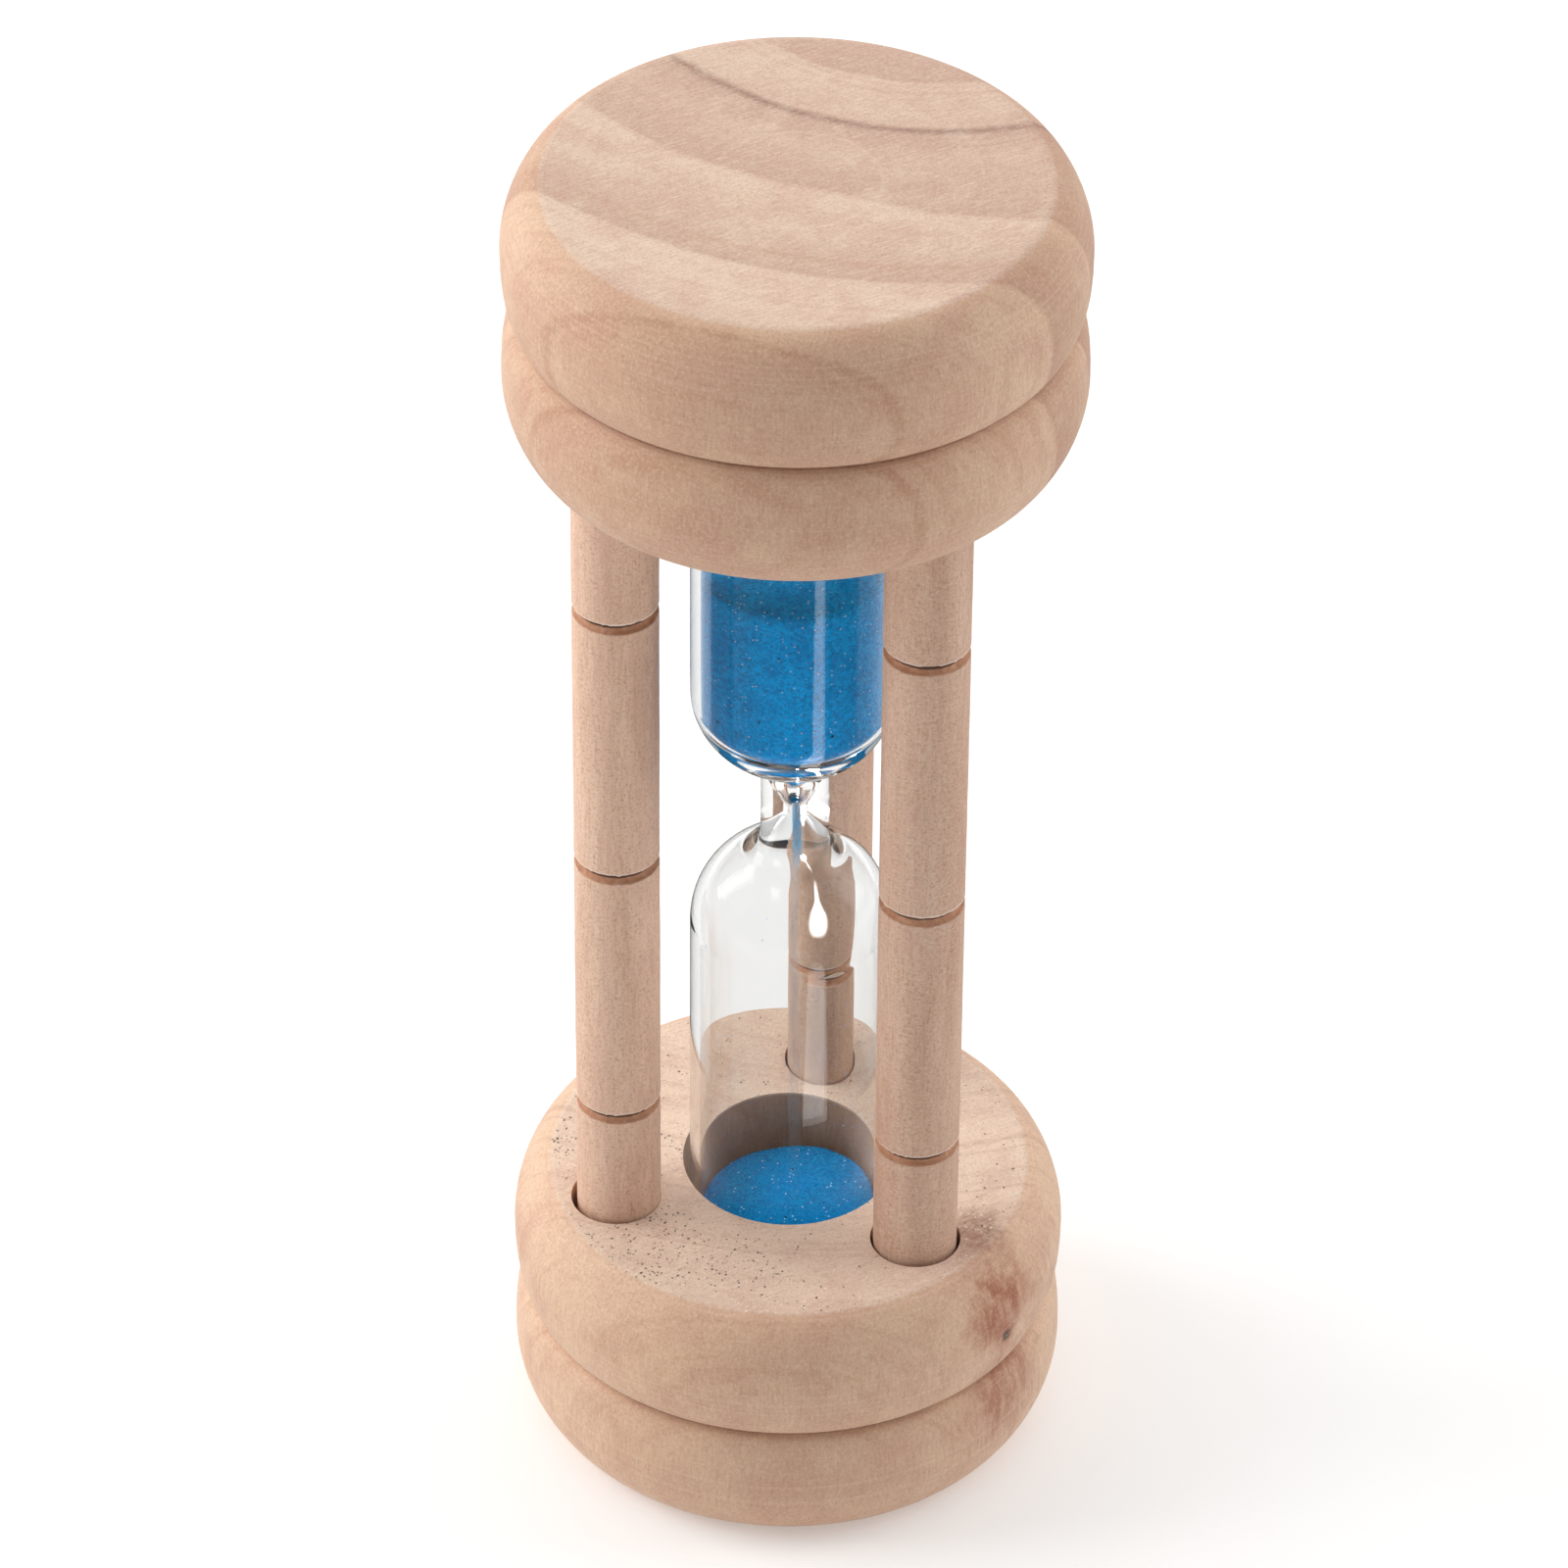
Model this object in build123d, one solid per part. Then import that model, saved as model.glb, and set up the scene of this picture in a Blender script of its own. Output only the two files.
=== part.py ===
from build123d import *
import math
import os

# A small wooden sand timer. Two turned end caps, each with two rounded beads and a groove between
# them, are held apart by three grooved dowel posts. A clear glass vial with a narrow waist stands
# in a blind socket in each cap, on a thin pad, and holds fine blue sand.
# Millimetres. +Z is up, and the origin is the middle of the base cap's underside.
# The rear post is on +Y.

# Caps
CAP_DIAMETER = 39.5
BEAD_HEIGHT = 10.1
FACE_SHARE = 0.851          # radius of a cap's flat faces, as a share of the cap's radius
FACE_FULLNESS = 1.75        # exponent of the curve from a flat face to the nose of its bead
GROOVE_SHARE = 0.927        # radius at the bottom of the groove between two beads, the same way
GROOVE_FULLNESS = 2.5       # exponent of the curve from the nose down into the groove
GROOVE_ROOT = 0.25          # height of the groove's bottom
CAP_SPACING = 64.4          # between the caps' facing sides

# Posts
POST_DIAMETER = 6.0
POST_PLACES = {             # name: (angle, distance from the axis). Drilled by eye, so not quite even
    "post_rear": (89.0, 11.9),
    "post_left": (213.0, 12.9),
    "post_right": (328.5, 12.6),
}
POST_SOCKET_DIAMETER = 6.45     # a loose fit, so each post stands a little off its sockets' middle
POST_SOCKET_DEPTH = 8.0
POST_END_CHAMFER = 0.4
SOCKET_SHIFTS = {           # name: (angle, distance) of a post's sockets from the post
    "post_rear": (89.0, 0.1),
    "post_left": (193.0, 0.2),
    "post_right": (328.5, 0.05),
}
RING_WIDTH = 0.8            # the decorative rings cut round each post
RING_DEPTH = 0.4
RING_FIRST = 9.5            # above the base cap's upper face
RING_PITCH = 21.65
RING_COUNT = 3

# Glass vial
VIAL_DIAMETER = 14.2
VIAL_WALL = 0.7
VIAL_SOCKET_DIAMETER = 15.2
VIAL_SOCKET_DEPTH = 10.0
END_ROUND = 4.5             # outer rounding of the vial's closed ends
WAIST_RISE = 0.45           # the waist is this much over the vial's middle
# A shoulder is its centre's distance from the waist, and its height as a share of its radius.
LOWER_SHOULDER = (10.65, 1.0)
UPPER_SHOULDER = (9.65, 0.86)
UPPER_HOLLOW_SHOULDER = (9.05, 0.57)    # the upper bulb's hollow has a flat bottom
NECK_DIAMETER = 4.8
NECK_BLEND = 1.2            # radius between the neck and each shoulder
ORIFICE_DIAMETER = 1.0
ORIFICE_LENGTH = 0.8
FUNNEL_RADIUS = 2.8         # where the funnel over the orifice meets the round shoulder
FUNNEL_BLEND = 1.4
PAD_THICKNESS = 1.0
PAD_DIAMETER = 13.0

# Sand
SAND_GAP = 0.1              # from the sand to the glass
UPPER_FREE_HEIGHT = 10.9    # from the top cap's face down to the upper sand's surface
LOWER_FREE_HEIGHT = 4.3     # from the base cap's face down to the lower sand's edge
HEAP_HEIGHT = 0.6           # the lower heap's crown above its edge
DIMPLE_DEPTH = 0.8          # the upper sand's dimple below its edge
STREAM_DIAMETER = 0.8
POINT_RADIUS = 0.2          # the blunt tip of the crown and of the dimple

CAP_RADIUS = CAP_DIAMETER / 2
CAP_HEIGHT = 2 * BEAD_HEIGHT
BASE_FACE = CAP_HEIGHT
TOP_FACE = CAP_HEIGHT + CAP_SPACING
TOTAL_HEIGHT = TOP_FACE + CAP_HEIGHT
WAIST = TOTAL_HEIGHT / 2 + WAIST_RISE
VIAL_RADIUS = VIAL_DIAMETER / 2
BORE_RADIUS = VIAL_RADIUS - VIAL_WALL
VIAL_END_OFFSET = CAP_SPACING / 2 + VIAL_SOCKET_DEPTH - PAD_THICKNESS
UPPER_LENGTH = VIAL_END_OFFSET - WAIST_RISE     # from the waist to the vial's upper end
LOWER_LENGTH = VIAL_END_OFFSET + WAIST_RISE


def superellipse(edge_radius, half_height, fullness, steps=8):
    """Points (radius, height) from a bead's nose to its edge, tangent to both."""
    reach = CAP_RADIUS - edge_radius
    points = []
    for step in range(steps + 1):
        turn = math.pi / 2 * step / steps
        out = math.cos(turn) ** (2 / fullness)
        up = math.sin(turn) ** (2 / fullness)
        points.append((edge_radius + reach * out, half_height * up))
    return points


def cap_solid():
    """A turned cap without sockets, standing on z = 0."""
    half = BEAD_HEIGHT / 2
    face_side = superellipse(CAP_RADIUS * FACE_SHARE, half, FACE_FULLNESS)
    groove_side = superellipse(
        CAP_RADIUS * GROOVE_SHARE, half - GROOVE_ROOT / 2, GROOVE_FULLNESS
    )
    lower_face = [(r, half - z) for r, z in face_side]
    lower_groove = [(r, half + z) for r, z in groove_side]
    upper_groove = [(r, CAP_HEIGHT - z) for r, z in lower_groove]
    upper_face = [(r, CAP_HEIGHT - z) for r, z in lower_face]
    outline = [
        Line((0, 0), lower_face[-1]),
        Spline(lower_face),
        Spline(lower_groove),
        Line(lower_groove[-1], upper_groove[-1]),
        Spline(upper_groove),
        Spline(upper_face),
        Line(upper_face[-1], (0, CAP_HEIGHT)),
        Line((0, CAP_HEIGHT), (0, 0)),
    ]
    return turned(outline)


def turned(outline):
    """The solid of revolution about Z of a closed outline whose points are (radius, height)."""
    section = make_face(Curve() + outline)
    return revolve(Plane.XZ * section, Axis.Z)


def polar(angle, distance):
    """The point (x, y) at an angle in degrees and a distance from the origin."""
    turn = math.radians(angle)
    return distance * math.cos(turn), distance * math.sin(turn)


def socket_centre(name):
    """Where a post's sockets stand."""
    x, y = polar(*POST_PLACES[name])
    shift_x, shift_y = polar(*SOCKET_SHIFTS[name])
    return x + shift_x, y + shift_y


def cap_with_sockets(face, mouth_up):
    """A cap whose facing side is at the height face. mouth_up is 1 for the base and -1 for the top."""
    bottom = face - CAP_HEIGHT if mouth_up > 0 else face
    cap = Pos(0, 0, bottom) * cap_solid()
    cap -= Pos(0, 0, face - mouth_up * VIAL_SOCKET_DEPTH / 2) * Cylinder(
        VIAL_SOCKET_DIAMETER / 2, VIAL_SOCKET_DEPTH
    )
    for name in POST_PLACES:
        x, y = socket_centre(name)
        cap -= Pos(x, y, face - mouth_up * POST_SOCKET_DEPTH / 2) * Cylinder(
            POST_SOCKET_DIAMETER / 2, POST_SOCKET_DEPTH
        )
    return cap


def post(name):
    """A dowel that reaches the floor of its socket in both caps, with rings cut round it."""
    radius = POST_DIAMETER / 2
    length = CAP_SPACING + 2 * POST_SOCKET_DEPTH
    dowel = Cylinder(radius, length)
    dowel = chamfer(dowel.edges().filter_by(GeomType.CIRCLE), POST_END_CHAMFER)
    x, y = polar(*POST_PLACES[name])
    dowel = Pos(x, y, BASE_FACE + CAP_SPACING / 2) * dowel
    for ring in range(RING_COUNT):
        height = BASE_FACE + RING_FIRST + ring * RING_PITCH
        dowel -= Pos(x, y, height) * ring_cutter(radius)
    return dowel


def ring_cutter(radius):
    """What a ring cut removes: a round-bottomed channel round a dowel of this radius."""
    half = RING_WIDTH / 2
    outline = [
        Line((radius + half, -half), (radius, -half)),
        ThreePointArc((radius, -half), (radius - RING_DEPTH, 0), (radius, half)),
        Line((radius, half), (radius + half, half)),
        Line((radius + half, half), (radius + half, -half)),
    ]
    return turned(outline)


def bulb(radius, height, rounding, shoulder):
    """One bulb above the waist: a shoulder, a straight wall and a rounded closed end."""
    offset, share = shoulder
    straight = height - offset
    wall = Pos(0, 0, offset + straight / 2) * Cylinder(radius, straight)
    wall = fillet(wall.edges().sort_by(Axis.Z)[-1], rounding)
    if share == 1.0:
        return wall + Pos(0, 0, offset) * Sphere(radius)
    bowl = turned([
        EllipticalCenterArc((0, 0), radius, radius * share, 270, arc_size=90),
        Line((radius, 0), (0, 0)),
        Line((0, 0), (0, -radius * share)),
    ])
    return wall + Pos(0, 0, offset) * bowl


def edges_at_radius(solid, radius):
    """The round edges of this radius, the lowest first."""
    rounds = solid.edges().filter_by(GeomType.CIRCLE)
    return rounds.filter_by(lambda edge: abs(edge.radius - radius) < 1e-3).sort_by(Axis.Z)


def vial_outside(length, shoulder):
    """One half of the vial's outside, filled, from the waist at z = 0 up to length."""
    neck_radius = NECK_DIAMETER / 2
    neck = Pos(0, 0, shoulder[0] / 2) * Cylinder(neck_radius, shoulder[0])
    half = bulb(VIAL_RADIUS, length, END_ROUND, shoulder) + neck
    return fillet(edges_at_radius(half, neck_radius)[-1], NECK_BLEND)


def vial_inside(length, shoulder, inset=0.0):
    """The hollow of a half of this outer length, with its walls drawn in by inset."""
    offset, share = shoulder
    bore_radius = BORE_RADIUS - inset
    orifice_radius = ORIFICE_DIAMETER / 2 - inset
    funnel_radius = FUNNEL_RADIUS - inset
    funnel_top = offset - share * math.sqrt(bore_radius ** 2 - funnel_radius ** 2)
    funnel_bottom = ORIFICE_LENGTH / 2
    funnel_height = funnel_top - funnel_bottom
    end_round = END_ROUND - VIAL_WALL - inset
    hollow = bulb(bore_radius, length - VIAL_WALL - inset, end_round, shoulder)
    hollow += Pos(0, 0, funnel_bottom + funnel_height / 2) * Cone(
        orifice_radius, funnel_radius, funnel_height
    )
    hollow = fillet(edges_at_radius(hollow, funnel_radius)[-1], FUNNEL_BLEND)
    return hollow + Pos(0, 0, funnel_bottom / 2) * Cylinder(orifice_radius, funnel_bottom)


def glass_vial():
    """The closed vial: two bulbs joined by a thick neck with a fine bore."""
    upper = vial_outside(UPPER_LENGTH, UPPER_SHOULDER)
    upper -= vial_inside(UPPER_LENGTH, UPPER_HOLLOW_SHOULDER)
    lower = vial_outside(LOWER_LENGTH, LOWER_SHOULDER)
    lower -= vial_inside(LOWER_LENGTH, LOWER_SHOULDER)
    return Pos(0, 0, WAIST) * (upper + mirror(lower, Plane.XY))


def seat_pad(low):
    """A thin disc between the vial's end and the floor of its socket, with its underside at low."""
    return Pos(0, 0, low + PAD_THICKNESS / 2) * Cylinder(PAD_DIAMETER / 2, PAD_THICKNESS)


def sand_upper():
    """The sand still to run, from just over the orifice up to a dimpled surface."""
    surface = TOP_FACE - UPPER_FREE_HEIGHT - WAIST
    bottom = ORIFICE_LENGTH / 2 + SAND_GAP
    height = surface - bottom
    reach = Pos(0, 0, bottom + height / 2) * Cylinder(VIAL_RADIUS, height)
    dimple = Pos(0, 0, surface - DIMPLE_DEPTH / 2) * Cone(
        POINT_RADIUS, BORE_RADIUS, DIMPLE_DEPTH
    )
    hollow = vial_inside(UPPER_LENGTH, UPPER_HOLLOW_SHOULDER, SAND_GAP)
    return Pos(0, 0, WAIST) * ((hollow & reach) - dimple)


def sand_lower():
    """The sand that has run through: a shallow fill with a low crown."""
    edge = BASE_FACE - LOWER_FREE_HEIGHT
    floor = WAIST - LOWER_LENGTH
    fill = Pos(0, 0, (floor + edge) / 2) * Cylinder(VIAL_RADIUS, edge - floor)
    crown = Pos(0, 0, edge + HEAP_HEIGHT / 2) * Cone(BORE_RADIUS, POINT_RADIUS, HEAP_HEIGHT)
    hollow = vial_inside(LOWER_LENGTH, LOWER_SHOULDER, SAND_GAP)
    hollow = Pos(0, 0, WAIST) * mirror(hollow, Plane.XY)
    return hollow & (fill + crown)


def sand_stream():
    """The thread of falling sand, from the orifice to just over the heap."""
    top = WAIST + ORIFICE_LENGTH / 2
    bottom = BASE_FACE - LOWER_FREE_HEIGHT + HEAP_HEIGHT + SAND_GAP
    return Pos(0, 0, (top + bottom) / 2) * Cylinder(STREAM_DIAMETER / 2, top - bottom)


def build():
    """Every node of the part by name."""
    nodes = {
        "base_cap": cap_with_sockets(BASE_FACE, 1),
        "top_cap": cap_with_sockets(TOP_FACE, -1),
        "glass_vial": glass_vial(),
        "lower_seat_pad": seat_pad(BASE_FACE - VIAL_SOCKET_DEPTH),
        "upper_seat_pad": seat_pad(TOP_FACE + VIAL_SOCKET_DEPTH - PAD_THICKNESS),
        "sand_upper": sand_upper(),
        "sand_stream": sand_stream(),
        "sand_lower": sand_lower(),
    }
    for name in POST_PLACES:
        nodes[name] = post(name)
    return nodes


os.makedirs("parts", exist_ok=True)
for node, shape in build().items():
    export_step(shape, f"parts/{node}.step")
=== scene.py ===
"""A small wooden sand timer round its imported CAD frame: wood, glass, sand, light and camera.

Lengths are in metres, and MM turns millimetres into them. Shapes that replace a CAD node take their
place and size from that node's box.
"""

import math
import random

import bpy
import numpy as np
from mathutils import Matrix, Vector, noise


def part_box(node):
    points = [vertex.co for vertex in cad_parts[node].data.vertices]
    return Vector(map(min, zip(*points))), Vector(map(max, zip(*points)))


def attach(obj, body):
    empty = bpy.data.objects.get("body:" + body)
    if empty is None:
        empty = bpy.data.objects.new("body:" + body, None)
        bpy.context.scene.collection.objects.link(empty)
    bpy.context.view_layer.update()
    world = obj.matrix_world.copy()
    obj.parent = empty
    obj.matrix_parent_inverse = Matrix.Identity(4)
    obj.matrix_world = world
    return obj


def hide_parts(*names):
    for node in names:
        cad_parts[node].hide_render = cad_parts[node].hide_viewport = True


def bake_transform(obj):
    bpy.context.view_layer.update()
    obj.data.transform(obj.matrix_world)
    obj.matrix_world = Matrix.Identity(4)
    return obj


MM = 0.001
NEAR = 0.01 * MM                # points this near a level or a radius count as on it

# Vial, as in the CAD source
VIAL_WALL = 0.7 * MM
END_ROUND = 4.5 * MM
# A shoulder is its centre's distance from the waist, and its height as a share of its radius.
LOWER_SHOULDER = (10.65 * MM, 1.0)
UPPER_SHOULDER = (9.65 * MM, 0.86)
UPPER_HOLLOW_SHOULDER = (9.05 * MM, 0.57)
NECK_RADIUS = 2.4 * MM
NECK_BLEND = 1.2 * MM
ORIFICE_RADIUS = 0.5 * MM
ORIFICE_HALF = 0.4 * MM
FUNNEL_RADIUS = 2.8 * MM
FUNNEL_BLEND = 1.3 * MM
NECK_SHIFT = 0.25 * MM          # the waist is a little off the vial's axis
NECK_SHIFT_REACH = 6 * MM
VIAL_SEGMENTS = 192
# Steps along a bulb's outline, in order from the neck to the closed end
NECK_STEPS = 8
BLEND_STEPS = 9
SHOULDER_STEPS = 40
SIDE_STEPS = 20
END_STEPS = 14

# Glass
GLASS_COLOUR = (0.865, 0.873, 0.87)
GLASS_IOR = 1.46
TRAPPED_AFTER = 3.5             # reflections inside the walls before light is let out
SHADOW_TINT = (0.93, 0.94, 0.94, 1.0)
TRAPPED_TINT = (0.80, 0.82, 0.82, 1.0)

# Sand
SAND_GAP = 0.05 * MM            # between the sand and the glass
SAND_SEGMENTS = 128
GRAIN = 0.13 * MM
GRAIN_HEIGHT = 0.06 * MM        # how far single grains roughen a surface
ROUGH_DEPTH = 1.2 * MM          # points this near the surface are roughened
ROUGH_SHARE = 0.97              # out to this share of its radius
# Cells per millimetre for the grains that get a painted glint
GLINT_CELLS_PER_MM = 4.0
# Painted light and shade: the sand above is made lighter, the heap below darker, by these colour factors.
UPPER_SAND_PAINTED_LIGHT = 1.4
LOWER_SAND_PAINTED_SHADE = 0.72
DIMPLE_DEPTH = 0.8 * MM
DIMPLE_SHARE = 0.8              # of the surface's radius
DIMPLE_ROWS = 24
HEAP_DROP = 0.6 * MM            # from the top of the CAD sand to the heap's edge
HEAP_CROWN = 0.55 * MM
HEAP_SPREAD = 2.6 * MM
HEAP_SLOPE = 0.13
HEAP_WAVE = 1.6 * MM
HEAP_UNEVEN = 0.08 * MM
HEAP_ROWS = 30

# Falling thread
STREAM_RADIUS = 0.26 * MM       # at the orifice
STREAM_SPREAD = 0.16 * MM       # what it has gained at the heap
STREAM_DRIFT = 0.4 * MM         # how far it strays sideways
STREAM_WAVE = 5 * MM
STREAM_WANDER = 0.16 * MM
STREAM_RAGGED = 0.05 * MM
STREAM_ROWS = 110
STREAM_SEGMENTS = 20
STREAM_SEED = 7                 # without one, noise_vector takes its offsets from the clock

# Grains that cling to the glass
CLINGING_COUNT = 70
CLINGING_START = -3 * MM        # from the base cap's upper face
CLINGING_SPAN = 24 * MM
CLINGING_SIZE = (0.035 * MM, 0.075 * MM)

# Posts
RING_HEIGHTS = (9.5 * MM, 31.15 * MM, 52.8 * MM)   # above the base cap's upper face
RING_WIDTH = 0.8 * MM
RING_DEPTH = 0.35 * MM
RING_WANDER = 0.10 * MM         # how far a ring's height wavers round the post
RING_REACH = 1.15 * MM          # fine rows of points lie this far to both sides of a ring
RING_ROWS = 40
RING_CLEAR = 1.2 * MM           # even rows of points keep this far from a ring
RING_RAGGED = (0.10, 0.12)      # how much a ring's width and its depth vary, as shares of them
RING_FLOOR = (2.965, 2.90)      # mm from a post's axis, where a ring's colour fades in
POST_CHAMFER = 0.4 * MM
POST_ROW = 0.8 * MM
POST_RELIEF = 0.03 * MM         # how far the grain sinks the surface
POST_SEGMENTS = 120
POST_PAINTED_LIGHT = {                  # painted light and shade: the left post's wood is made lighter, the right one's darker, the rear one's a little lighter
    "post_left": (1.15, 1.14, 1.13),
    "post_right": (0.98, 0.97, 0.96),
    "post_rear": (1.05, 1.05, 1.05),
}

# A pad's outline: shares of its radius and of its thickness
PAD_OUTLINE = (
    (0.0, 0.0), (0.3, 0.0), (0.6, 0.0), (0.85, 0.0), (0.955, 0.02), (0.985, 0.12), (1.0, 0.35),
    (0.995, 0.62), (0.975, 0.86), (0.93, 1.0), (0.85, 1.07), (0.72, 1.10), (0.6, 1.07),
    (0.5, 1.02), (0.4, 1.0), (0.2, 1.0), (0.0, 1.0),
)
PAD_SEGMENTS = 96

# Sky: brightness at a height from 0, the horizon, to 1, straight up, and the share left in front
SKY = ((0.0, 0.55), (0.35, 0.5), (0.9, 1.0))
SKY_FRONT = 0.34
SKY_OPENING = (-0.5, 0.75)      # from behind to in front, where the front's share sets in
SKY_STRENGTH = 1.28

# Lamps: degrees round from the camera, degrees up, distance, (width, height) and watts
LEFT_PANEL = (-98, 28, 0.8, (0.5, 0.6), 4.2)
RIGHT_PANEL = (100, 28, 0.8, (0.4, 0.6), 1.5)
PANEL_TINT = (1.0, 0.99, 0.98)
LOW_STRIP = (29, 0, 0.068, (0.020, 0.084), 0.028)
LOW_STRIP_HEIGHT = 0.5 * MM

# Light wand: its foot, bow and tip in mm, its breadth's direction and half widths in mm
WAND_CURVE = ((5.9, -8.4, 46.0), (5.65, -6.7, 50.2), (3.8, -2.7, 52.0))
WAND_ACROSS = (0.81, 0.52, -0.26)
WAND_NARROW = 0.36
WAND_SWELL = 1.35
WAND_GLOW = 130.0
WAND_STEPS = 24
WAND_SIDE = 4                   # columns of faces to each side of its middle

# Floor, and the card on it that shades reflections: inner and outer radius
FLOOR_REACH = 4.0
FLOOR_DROP = 0.02 * MM
FLOOR_GLOW = 0.26
CARD_RING = (24 * MM, 300 * MM)
CARD_HEIGHT = 0.2 * MM
CARD_SEGMENTS = 96

# View
CAMERA_AZIMUTH = math.radians(12.7)
CAMERA_REACH = 477 * MM
CAMERA_HEIGHT = 427.8 * MM
CAMERA_TARGET_HEIGHT = 54.15 * MM
CAMERA_SIDESTEP = -0.55 * MM
CAMERA_ROLL = 0.0085
CAMERA_LENS = 200.0

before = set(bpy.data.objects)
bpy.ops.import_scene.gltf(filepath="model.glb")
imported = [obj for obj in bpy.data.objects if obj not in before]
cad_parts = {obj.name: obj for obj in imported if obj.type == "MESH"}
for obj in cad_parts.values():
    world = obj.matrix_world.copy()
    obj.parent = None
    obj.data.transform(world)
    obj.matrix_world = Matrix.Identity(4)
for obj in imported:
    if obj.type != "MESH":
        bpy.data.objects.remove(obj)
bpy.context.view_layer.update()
BASE_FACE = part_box("base_cap")[1].z
TOP_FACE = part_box("top_cap")[0].z
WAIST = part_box("sand_stream")[1].z - ORIFICE_HALF
UPPER_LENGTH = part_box("glass_vial")[1].z - WAIST
LOWER_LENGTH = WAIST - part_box("glass_vial")[0].z
VIAL_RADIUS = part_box("glass_vial")[1].x
BORE_RADIUS = VIAL_RADIUS - VIAL_WALL
SOCKET_DEPTH = 10.0             # mm, of the vial's sockets in the caps
SOCKET_REACH = (VIAL_RADIUS + 0.6 * MM) / MM      # their walls stand within this radius, in mm


# ---------------------------------------------------------------- node trees

class Tree:
    """Builds one material. Places are in millimetres of the part's own frame."""

    def __init__(self, name):
        self.material = bpy.data.materials.new(name)
        self.material.use_nodes = True
        self.tree = self.material.node_tree
        self.tree.nodes.clear()
        self.coordinates = self.add("ShaderNodeTexCoord")
        self.place = self.vector("SCALE", self.coordinates.outputs["Object"], scale=1 / MM)
        self.facing = self.coordinates.outputs["Normal"]

    def add(self, kind, **settings):
        node = self.tree.nodes.new(kind)
        for key, value in settings.items():
            setattr(node, key, value)
        return node

    def put(self, socket, value):
        """Links a socket to another, or sets its plain value."""
        if isinstance(value, bpy.types.NodeSocket):
            self.tree.links.new(value, socket)
        else:
            socket.default_value = value

    def maths(self, operation, *values):
        node = self.add("ShaderNodeMath", operation=operation)
        for socket, value in zip(node.inputs, values):
            self.put(socket, value)
        return node.outputs[0]

    def vector(self, operation, *values, scale=None):
        node = self.add("ShaderNodeVectorMath", operation=operation)
        for socket, value in zip(node.inputs, values):
            self.put(socket, value)
        if scale is not None:
            self.put(node.inputs["Scale"], scale)
        wanted = "Value" if operation in ("LENGTH", "DISTANCE", "DOT_PRODUCT") else "Vector"
        return node.outputs[wanted]

    def parts(self, vector):
        node = self.add("ShaderNodeSeparateXYZ")
        self.put(node.inputs[0], vector)
        return node.outputs

    def join(self, x, y, z=0.0):
        node = self.add("ShaderNodeCombineXYZ")
        for socket, value in zip(node.inputs, (x, y, z)):
            self.put(socket, value)
        return node.outputs[0]

    def noise(self, where, scale=1.0, detail=2.0, roughness=0.5, colour=False):
        node = self.add("ShaderNodeTexNoise")
        self.put(node.inputs["Vector"], where)
        self.put(node.inputs["Scale"], scale)
        self.put(node.inputs["Detail"], detail)
        self.put(node.inputs["Roughness"], roughness)
        return node.outputs["Color" if colour else "Fac"]

    def wobble(self, where, scale, detail, roughness):
        """Noise as a vector, each part of it between -0.5 and 0.5."""
        spread = self.noise(where, scale, detail, roughness, colour=True)
        return self.vector("SUBTRACT", spread, (0.5, 0.5, 0.5))

    def cells(self, where, scale):
        """Distance to the nearest cell point, and the cell's random colour."""
        node = self.add("ShaderNodeTexVoronoi")
        self.put(node.inputs["Vector"], where)
        self.put(node.inputs["Scale"], scale)
        return node.outputs["Distance"], node.outputs["Color"]

    def step(self, value, low, high, to_low=0.0, to_high=1.0):
        """Smooth step of value from low to high."""
        node = self.add("ShaderNodeMapRange", interpolation_type="SMOOTHSTEP")
        for socket, item in zip(node.inputs, (value, low, high, to_low, to_high)):
            self.put(socket, item)
        return node.outputs[0]

    def ramp(self, value, stops):
        node = self.add("ShaderNodeValToRGB")
        self.put(node.inputs[0], value)
        elements = node.color_ramp.elements
        while len(elements) < len(stops):
            elements.new(0.5)
        for element, (position, colour) in zip(elements, stops):
            element.position = position
            element.color = (*colour, 1.0)
        return node.outputs[0]

    def blend(self, share, first, second, kind="MIX"):
        node = self.add("ShaderNodeMix", data_type="RGBA", blend_type=kind)
        for index, value in ((0, share), (6, first), (7, second)):
            if isinstance(value, tuple) and len(value) == 3:
                value = (*value, 1.0)
            self.put(node.inputs[index], value)
        return node.outputs[2]

    def tinge(self, colour, value, low, high, weight, tone):
        """The colour with a tone laid over it, up to weight, as value goes from low to high."""
        return self.blend(self.step(value, low, high, 0.0, weight), colour, tone)

    def bump(self, height, strength, distance):
        node = self.add("ShaderNodeBump")
        self.put(node.inputs["Strength"], strength)
        self.put(node.inputs["Distance"], distance)
        self.put(node.inputs["Height"], height)
        return node.outputs[0]

    def principled(self, **values):
        node = self.add("ShaderNodeBsdfPrincipled")
        for key, value in values.items():
            socket = node.inputs[key.replace("_", " ")]
            if isinstance(value, tuple) and len(value) == 3 and socket.type == "RGBA":
                value = (*value, 1.0)
            self.put(socket, value)
        return node.outputs[0]

    def finish(self, surface):
        output = self.add("ShaderNodeOutputMaterial")
        self.tree.links.new(surface, output.inputs["Surface"])
        return self.material


def srgb(red, green, blue):
    """Linear colour from 0 to 255 display values."""
    return tuple(
        c / 12.92 if c <= 0.04045 else ((c + 0.055) / 1.055) ** 2.4
        for c in (red / 255, green / 255, blue / 255)
    )


# ---------------------------------------------------------------- wood

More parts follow.
